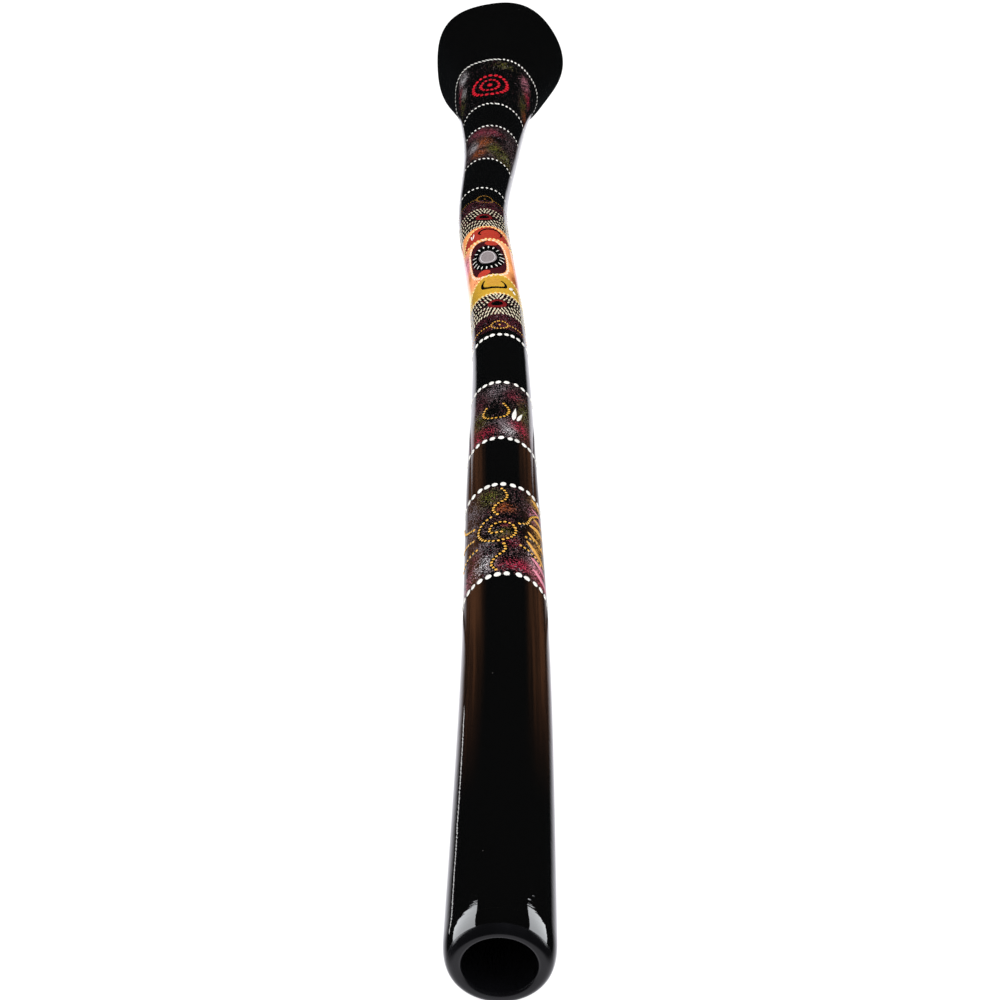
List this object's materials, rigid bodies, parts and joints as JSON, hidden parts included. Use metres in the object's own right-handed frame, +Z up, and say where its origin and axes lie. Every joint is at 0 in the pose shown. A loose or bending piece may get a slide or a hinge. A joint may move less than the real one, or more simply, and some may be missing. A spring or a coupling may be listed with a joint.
{
  "type": "didgeridoo",
  "caption": "Long wandering drone tube with a rounded mouth lip, an open bore and a flared bell, in black gloss with painted bands and rings of dots.",
  "frame": {"origin": "under the middle of the instrument, on the surface it lies on (bottom centre of its bounding box)", "axes": "+Y along the tube from the mouth end to the bell, +Z up from the surface it lies on, +X to the right seen from the mouth end"},
  "size_m": [0.1572, 1.4572, 0.1537],
  "materials": {
    "upper_lacquer": "black gloss lacquer over glass-fibre laminate, with painted bands and dots",
    "lower_lacquer": "black gloss lacquer over glass-fibre laminate",
    "mouthpiece_gloss": "black gloss resin",
    "seam_laminate": "bare glass-fibre tape"
  },
  "bodies": {
    "root": {"upper_shell": "upper_lacquer", "lower_shell": "lower_lacquer", "left_seam_strip": "seam_laminate", "right_seam_strip": "seam_laminate", "mouthpiece": "mouthpiece_gloss"}
  },
  "joints": []
}
